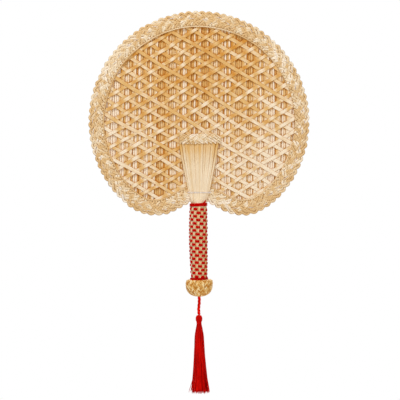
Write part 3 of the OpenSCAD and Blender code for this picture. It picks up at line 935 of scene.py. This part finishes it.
# %% Handle straws
FOOT_Z = -50.5
NECK_Z = 42.5
FAN_TOP_Z = 136.5
BAND_Z = 126.1
fan_z = np.array([48.0, 51.5, 56.0, 63.5, 70.0, 76.9, 90.0, 108.0, BAND_Z, FAN_TOP_Z])
fan_half = np.array([9.0, 9.2, 10.4, 12.4, 13.7, 14.8, 17.3, 20.5, 23.0, 23.2])
fan_deep = np.array([9.3, 8.9, 7.4, 5.6, 4.7, 4.5, 4.2, 3.5, 2.7, 2.7])
fan_arch = np.array([9.0, 5.0, 3.2, 1.4, 0.7, 0.5, 0.4, 0.4, 0.3, 0.2])
for name, way, count, node in (
    ("handle_straws_front_ribs", 1, FRONT_WARPS, "handle_straws_front"),
    ("handle_straws_back_ribs", -1, WARPS - FRONT_WARPS, "handle_straws_back"),
):
    ribs = Bundle(name)
    for i in range(2 * count):
        warp = i // 2
        turn = (warp - (count - 1) / 2) * WARP_TURN + (0 if way > 0 else 180)
        turn = turn + (i % 2 - 0.5) * RIB_TURN
        z = np.linspace(FOOT_Z, NECK_Z, 100)
        row = (FIRST_ROW_Z - z) / ROW
        index = warp if way > 0 else warp + FRONT_WARPS
        weave = 0.55 * np.cos(math.pi * (row + index)) * np.clip((z + 49) / 4, 0, 1)
        low = handle_point(turn, WARP_R + weave, z)
        u = (i - count + 0.5) / (count - 0.5)
        stray = rng.normal(0, 0.25) * np.clip((fan_z - 60) / 50, 0, 1) * 1.5
        shift = np.interp(fan_z, [50, 64], [SHIFT[-1], 0])
        fan_y = np.maximum(fan_deep - fan_arch * u * u, 2.5) + 0.12 * (i % 2)
        high = np.stack([fan_half * way * u + stray + shift, -way * fan_y, fan_z], 1)
        line = resample(np.concatenate([low, high]), 130)
        tall = line[:, 2]
        neck_up = handle_out(turn, NECK_Z)
        up = np.stack([
            np.interp(tall, [NECK_Z, 50], [1, 0]) * neck_up[0],
            np.where(tall < NECK_Z + 1.5, neck_up[1], -way),
            np.zeros_like(tall),
        ], 1)
        held = tall < NECK_Z
        up[held] = handle_out(turn, tall[held])
        wide = np.interp(tall, [-50, 42, 50, 63.5, 126, 137], [2.35, 2.35, 2.0, 2.1, 3.6, 3.6])
        wide = wide * rng.uniform(0.9, 1.12)
        thick = np.interp(tall, [40, 60, 70, 130], [1.5, 1.5, 1.2, 1.1])
        # Painted shade: the small fan's straws are riper just under the neck band, where its shade
        # falls.
        band_shade = 0.8 * np.interp(tall, [60, 95, 113, 126], [0.0, 0.12, 0.55, 1.0])
        # The handle's straws are riper, their own golden colour, and riper still towards its right
        # side, a painted shade of the side turned from the light.
        ripe = np.interp(tall, [-50, 42, 50], [1, 1, 0]) * (0.42 + 0.3 * way * u)
        tone = np.clip(rng.uniform(0.1, 0.5) + band_shade + ripe, 0, 1.1)
        ribs.lay(line, up, wide, thick, tone=tone, sides=8)
    ribs.build(neck_straw, "fan", "straw", node)

# %% [markdown]
# ## Red weft and bindings
#
# One red yarn goes round and round the handle, over one straw and under the next. As there
# are fifteen straws, an odd number, each row is over where the last was under, and the yarn
# shows as a chequer of dashes. It is laid in four lengths, end to end. The bindings at both
# ends are the same yarn wound tight, and the top one ends in a short tail.

# %% Weft and bindings
WEFT_ROWS = 19.6
WEFT_PARTS = 4
LAST_ROW_Z = -46.2
FRONT_MIDDLE = (FRONT_WARPS - 1) / 2
weft = Bundle("red_weft_yarn")
q = np.linspace(-1.5, WARPS * WEFT_ROWS, int(WARPS * WEFT_ROWS * 10))
turn = (q - FRONT_MIDDLE) * WARP_TURN
weave = 0.42 - np.cos(math.pi * q)
r = WARP_R + 0.5 + 0.85 * np.sign(weave) * np.abs(weave) ** 0.4
z = np.maximum(FIRST_ROW_Z - ROW * (q - FRONT_MIDDLE) / WARPS, LAST_ROW_Z)
cut = len(q) // WEFT_PARTS
for k in range(WEFT_PARTS):
    part = slice(k * cut, min((k + 1) * cut + 1, len(q)))
    weft.lay(
        handle_point(turn[part], r[part], z[part]), handle_out(turn[part], z[part]),
        3.25, 0.85, tone=0.3, sides=8, square=0.7,
    )
weft.build(red_yarn, "fan", "red_yarn", "red_weft")

top = Bundle("top_binding_yarn")
a = np.linspace(-200, 560, 150)
z = np.interp(a, [-200, 560], [45.6, 49.7])
line = handle_point(a - np.interp(z, HANDLE_Z, TURN), 10.8, z)
tail = np.array([[6.8, -11.2, 50.4], [8.0, -9.6, 52.0], [8.8, -8.6, 53.4]])
top.lay(line[:138], handle_out(a[:138], z[:138]), 2.15, 1.7, tone=0.3, sides=10)
top.lay(
    resample(np.concatenate([line[60:66] + [0, -0.9, 1.2], tail]), 20), (0, -1, 0.3),
    1.9, 1.5, tone=0.25, sides=10, tip=0.6,
)
top.build(red_yarn, "fan", "red_yarn", "top_binding")

bottom = Bundle("bottom_binding_yarn")
a = np.linspace(-170, 590, 150)
z = np.interp(a, [-170, 590], [-49.9, -47.0])
line = handle_point(a - np.interp(z, HANDLE_Z, TURN), 11.5, z)
tone = np.interp(a, [-60, 60], [0.4, 0.1])
bottom.lay(line, handle_out(a, z), 2.2, 1.7, tone=tone, sides=10)
bottom.build(red_yarn, "fan", "red_yarn", "bottom_binding")

# %% [markdown]
# ## Neck bands and thread
#
# A short flat braid covers the top of the small fan and hides the straws' ends. It is plaited
# straight, and its two ends are turned back behind it. Clear thread crosses the neck in three
# passes and holds the fan's straws together.

# %% Neck bands and thread
LEFT_END = -25.0
RIGHT_END = 28.0
BAND_MIDDLE = 6.9
BAND_PITCH = 5.6
BAND_Y = 4.1


def folded(s, w, y):
    """Straight braid whose ends are turned back behind it."""
    x = LEFT_END + s
    over = np.maximum(x - RIGHT_END, 0) + np.maximum(LEFT_END - x, 0)
    x = np.where(x > RIGHT_END, np.maximum(2 * RIGHT_END - x, LEFT_END), x)
    x = np.where(x < LEFT_END, 2 * LEFT_END - x, x)
    sunk = y * (1 - 0.25 * np.clip(over / 2, 0, 1))
    return np.stack([x, sunk, BAND_Z + BAND_MIDDLE + w + 0.4 * np.sin(x / 13)], -1)


for name, way, node in (
    ("neck_band_front_braid", -1, "neck_band_front"),
    ("neck_band_back_braid", 1, "neck_band_back"),
):
    braid = Bundle(name)
    plait(
        braid, 13.9, BAND_PITCH, 9, 2.05, 0.8, 0.45,
        lambda s, w, h: folded(s - 14, w, way * (BAND_Y + h)), (0, way, 0),
        steps=32, jitter=0.6, tones=(-0.1, 0.9), turn_in=0.1,
    )
    braid.build(plait_straw, "fan", "plaited_straw", node)

THREAD_Z = 63.5
THREAD_Y = -6.9
thread = Bundle("neck_thread_nylon")
for k in range(3):
    x = np.linspace(-15.0, 15.6, 40)
    y = THREAD_Y + 1.4 * (x / 13) ** 2
    z = THREAD_Z + 0.5 * (k - 1) + 0.25 * np.sin(x / 4 + 2 * k)
    thread.lay(np.stack([x, y - 0.1 * k, z], 1), (0, -1, 0), 0.4, 0.3, tone=0.5, sides=5)
thread.build(nylon_thread, "fan", "nylon", "neck_thread")

# %% [markdown]
# ## The pommel
#
# The pommel is a cap of fine plait drawn over the plug. Its straws meet in columns of V
# shapes, as in a herringbone. Each V is two short straws, laid from the middle of a column
# slantwise up to its sides, row by row down the cap's own profile. Columns narrow where the
# cap does. A spun profile with a bump would give smooth outlines; laid straws also catch light.

# %% Pommel
CAP_R = 17.25
CAP_DROP = 15.3
CAP_SQUARE = 0.833
CAP_COLUMNS = 18
CAP_ROW = 2.6
cap_profile = [(11.2, -0.5), (14.4, -0.4), (CAP_R - 0.9, -1.2), (CAP_R, -4.2), (CAP_R, -6.5)]
for angle in np.linspace(5, 88, 18):
    c, d = math.cos(math.radians(angle)), math.sin(math.radians(angle))
    cap_profile.append((CAP_R * c ** CAP_SQUARE, -6 - CAP_DROP * d ** CAP_SQUARE))
cap_profile = np.array(cap_profile)
cap_walk = np.concatenate([[0], np.cumsum(np.linalg.norm(np.diff(cap_profile, axis=0), axis=1))])


def cap_point(turn, walk, out):
    """A point of the cap: turn in degrees, walk down its profile, out from its surface."""
    r = np.interp(walk, cap_walk, cap_profile[:, 0])
    z = np.interp(walk, cap_walk, cap_profile[:, 1])
    a = np.radians(turn)
    far = r + out
    lean = 0.6 * np.maximum(np.sin(a), 0) * np.exp(-(z / 5) ** 2)
    return np.stack([far * np.sin(a) + 0.2 + lean, -far * np.cos(a), z - HALF_HANDLE + lean], -1)


def cap_out(turn, walk):
    """The cap's outward direction there, from its profile just above and below."""
    dr, dz = [
        np.interp(walk + 0.4, cap_walk, cap_profile[:, k])
        - np.interp(walk - 0.4, cap_walk, cap_profile[:, k])
        for k in (0, 1)
    ]
    size = np.hypot(dr, dz)
    a = np.radians(turn)
    return np.stack([-dz / size * np.sin(a), dz / size * np.cos(a), dr / size], -1)


cap = Bundle("pommel_plait")
count = int(cap_walk[-1] / CAP_ROW)
for column in range(CAP_COLUMNS):
    for row in range(-1, count + 1):
        for side in (-1, 1):
            step = np.linspace(0, 1, 9)
            walk = (row + 0.5 * (side > 0) + 1.6 * (1 - step)) * CAP_ROW + rng.normal(0, 0.1)
            walk = np.clip(walk, 0, cap_walk[-1] - 0.3)
            turn = (column + 0.5 * side * step * 1.12) * 360 / CAP_COLUMNS + 4 + rng.normal(0, 0.6)
            bulge = 0.5 * np.sin(math.pi * np.clip(step * 0.9 + 0.08, 0, 1)) - 0.7
            line = cap_point(turn, walk, bulge)
            if np.linalg.norm(line[-1] - line[0]) < 1.2:
                continue
            fit = np.clip(np.interp(walk.mean(), cap_walk, cap_profile[:, 0]) / 9, 0.35, 1)
            cap.lay(
                line, cap_out(turn, walk), 2.25 * fit * rng.uniform(0.85, 1.1), 1.2,
                tone=rng.uniform(-0.2, 1.1), square=0.8, tip=0.55,
            )
cap.build(pommel_straw, "fan", "plaited_straw", "pommel_cap")

# %% [markdown]
# ## The tassel
#
# A tassel is a hank of floss, folded over the cord's end, tied below the fold and cut. So
# each strand here starts in the head, bulges over it, squeezes under the tie and hangs to the
# cut, a little wavy. The outer strands spread at the bottom and some are frayed away. The
# skirt can't fall by simulation as well as it can be combed into a given shape: its shape is
# known.

# %% Tassel strands
HEAD_STRANDS = 46
SKIRT_STRANDS = 330
OUTER_STRANDS = 121
SKIRT_TOP = -104.5
TIE_R = 3.05
TIE_TURNS = 4
tassel_z = [-95.6, -96.6, -98.4, -101, -103.2, -105, -107.5, -112, -122, -141, -163, -184, -196]
tassel_r = [0.8, 3.0, 4.1, 4.3, 3.8, 2.9, 3.1, 4.1, 5.7, 6.8, 8.2, 10.3, 11.6]
tassel_x = [0, 0, 0, 0.1, 0.1, 0.1, 0.1, 0.2, 0.3, 0.5, 0.9, 1.3, 1.4]
head = Bundle("tassel_head_floss")
for i in range(HEAD_STRANDS):
    a = 2 * math.pi * i / HEAD_STRANDS + rng.normal(0, 0.03)
    z = np.linspace(-95.5, -107.0, 22)
    r = np.interp(z, tassel_z[::-1], tassel_r[::-1]) - 0.25
    turn = a + 0.02 * (z + 95)
    line = np.stack([r * np.cos(turn), r * np.sin(turn), z], 1)
    out = np.stack([np.cos(turn), np.sin(turn), np.zeros_like(z)], 1)
    head.lay(line, out, 0.85, 0.8, tone=rng.uniform(0.2, 0.8), sides=5)
head.build(red_floss, "tassel", "red_yarn", "tassel_head")

tie = Bundle("tassel_tie_floss")
a = np.linspace(0, TIE_TURNS * 2 * math.pi, 130)
z = np.interp(a, [0, a[-1]], [-103.9, -106.7])
line = np.stack([TIE_R * np.cos(a), TIE_R * np.sin(a), z], 1)
tie.lay(line, line * [1, 1, 0], 0.8, 0.7, tone=0.5)
tie.build(red_floss, "tassel", "red_yarn", "tassel_tie")

skirt = Bundle("tassel_skirt_floss")
for i in range(SKIRT_STRANDS):
    a = rng.uniform(0, 2 * math.pi)
    outer = i < OUTER_STRANDS
    deep = rng.uniform(0.92, 1.0) if outer else math.sqrt(rng.uniform(0.15, 1.0))
    stop = -195.0 + rng.uniform(-1.6, 2.8)
    if rng.uniform() < 0.07:
        stop -= rng.uniform(0.5, 1.6)
    z = np.linspace(SKIRT_TOP, stop, 24)
    r = deep * (np.interp(z, tassel_z[::-1], tassel_r[::-1]) - 0.3)
    fray = rng.normal(0, 1.2) * np.clip((-172 - z) / 24, 0, 1) ** 1.6
    wave = 0.16 * np.clip((-104 - z) / 20, 0, 1)
    turn = a + rng.normal(0, 0.12) * (SKIRT_TOP - z) / 90
    turn = turn + wave * np.sin(z / rng.uniform(5, 9) + a * 7) / np.maximum(r, 2)
    sway = wave * np.sin(z / rng.uniform(6, 12) + rng.uniform(0, 6.3)) * 2
    x = (r + fray + sway) * np.cos(turn) + np.interp(z, tassel_z[::-1], tassel_x[::-1])
    y = (r + fray + sway) * np.sin(turn)
    tone = np.clip(rng.uniform(0.0, 0.9) + 0.1 * np.sin(z / 9 + a), 0, 1)
    out = np.stack([np.cos(turn), np.sin(turn), np.zeros_like(z)], 1)
    skirt.lay(
        np.stack([x, y, z], 1), out, rng.uniform(0.7, 1.05), 0.75,
        tone=tone, sides=5, tip=0.5,
    )
skirt.build(red_floss, "tassel", "red_yarn", "tassel_skirt")

# %% [markdown]
# ## Studio
#
# The photograph is a cut-out on white, lit from above and a little from the left. A small,
# strong lamp does that, a big weaker one on the right fills the shadows, one behind lights the
# back, and a grey world gives the rest. The floor lies below the tassel and keeps the fan's
# shadow. To the camera the world is plain white, and so is what the floor sends back where no
# shadow falls.

# %% Studio
FAN_MIDDLE = Vector((0, 0, 0.08))
FLOOR_Z = -0.5


def lamp(name, place, size, power):
    """A square lamp aimed at the middle of the fan. Place and size in metres."""
    data = bpy.data.lights.new(name, "AREA")
    data.size = size
    data.energy = power
    made = bpy.data.objects.new(name, data)
    bpy.context.collection.objects.link(made)
    made.location = place
    made.rotation_euler = (FAN_MIDDLE - Vector(place)).to_track_quat("-Z", "Y").to_euler()


lamp("key", (-0.62, -0.85, 1.5), 0.3, 17.5)
lamp("fill", (0.9, -1.6, -0.1), 1.2, 9.0)
lamp("back", (0.5, 1.5, 0.7), 1.0, 9.0)
scene = bpy.context.scene
scene.view_settings.view_transform = "Standard"
world = bpy.data.worlds.new("studio")
scene.world = world
world.use_nodes = True
sky = world.node_tree
sky.nodes.clear()
ray = add(sky, "ShaderNodeLightPath")
seen = add(
    sky, "ShaderNodeMath",
    {0: ray.outputs["Is Camera Ray"], 1: ray.outputs["Is Transmission Ray"]}, operation="MAXIMUM",
)
shown = add(
    sky, "ShaderNodeMath",
    {0: seen.outputs["Value"], 1: ray.outputs["Is Glossy Ray"]}, operation="MAXIMUM",
)
bright = add(
    sky, "ShaderNodeMapRange",
    {"Value": shown.outputs["Value"], "To Min": 0.41, "To Max": 1.0},
)
backdrop = add(
    sky, "ShaderNodeBackground", {"Color": (1, 1, 1, 1), "Strength": bright.outputs["Result"]},
)
add(sky, "ShaderNodeOutputWorld", {"Surface": backdrop.outputs["Background"]})
bpy.ops.mesh.primitive_plane_add(size=3.0, location=(0, 0, FLOOR_Z))
floor = bpy.context.object
floor.name = "floor"
paper, tree = material("floor_paper")
dull = add(tree, "ShaderNodeBsdfDiffuse", {"Color": (0.85, 0.85, 0.85, 1)})
watched = add(tree, "ShaderNodeLightPath")
lift = add(
    tree, "ShaderNodeMath", {0: watched.outputs["Is Camera Ray"], 1: 0.55}, operation="MULTIPLY",
)
glow = add(
    tree, "ShaderNodeEmission", {"Color": (1, 1, 1, 1), "Strength": lift.outputs["Value"]},
)
both = add(tree, "ShaderNodeAddShader", {0: dull.outputs["BSDF"], 1: glow.outputs["Emission"]})
add(tree, "ShaderNodeOutputMaterial", {"Surface": both.outputs["Shader"]})
floor.data.materials.append(paper)
floor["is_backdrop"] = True
print("studio: three lamps, a pale floor and a white world")

# %% The bounds of what is shown
low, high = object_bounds()
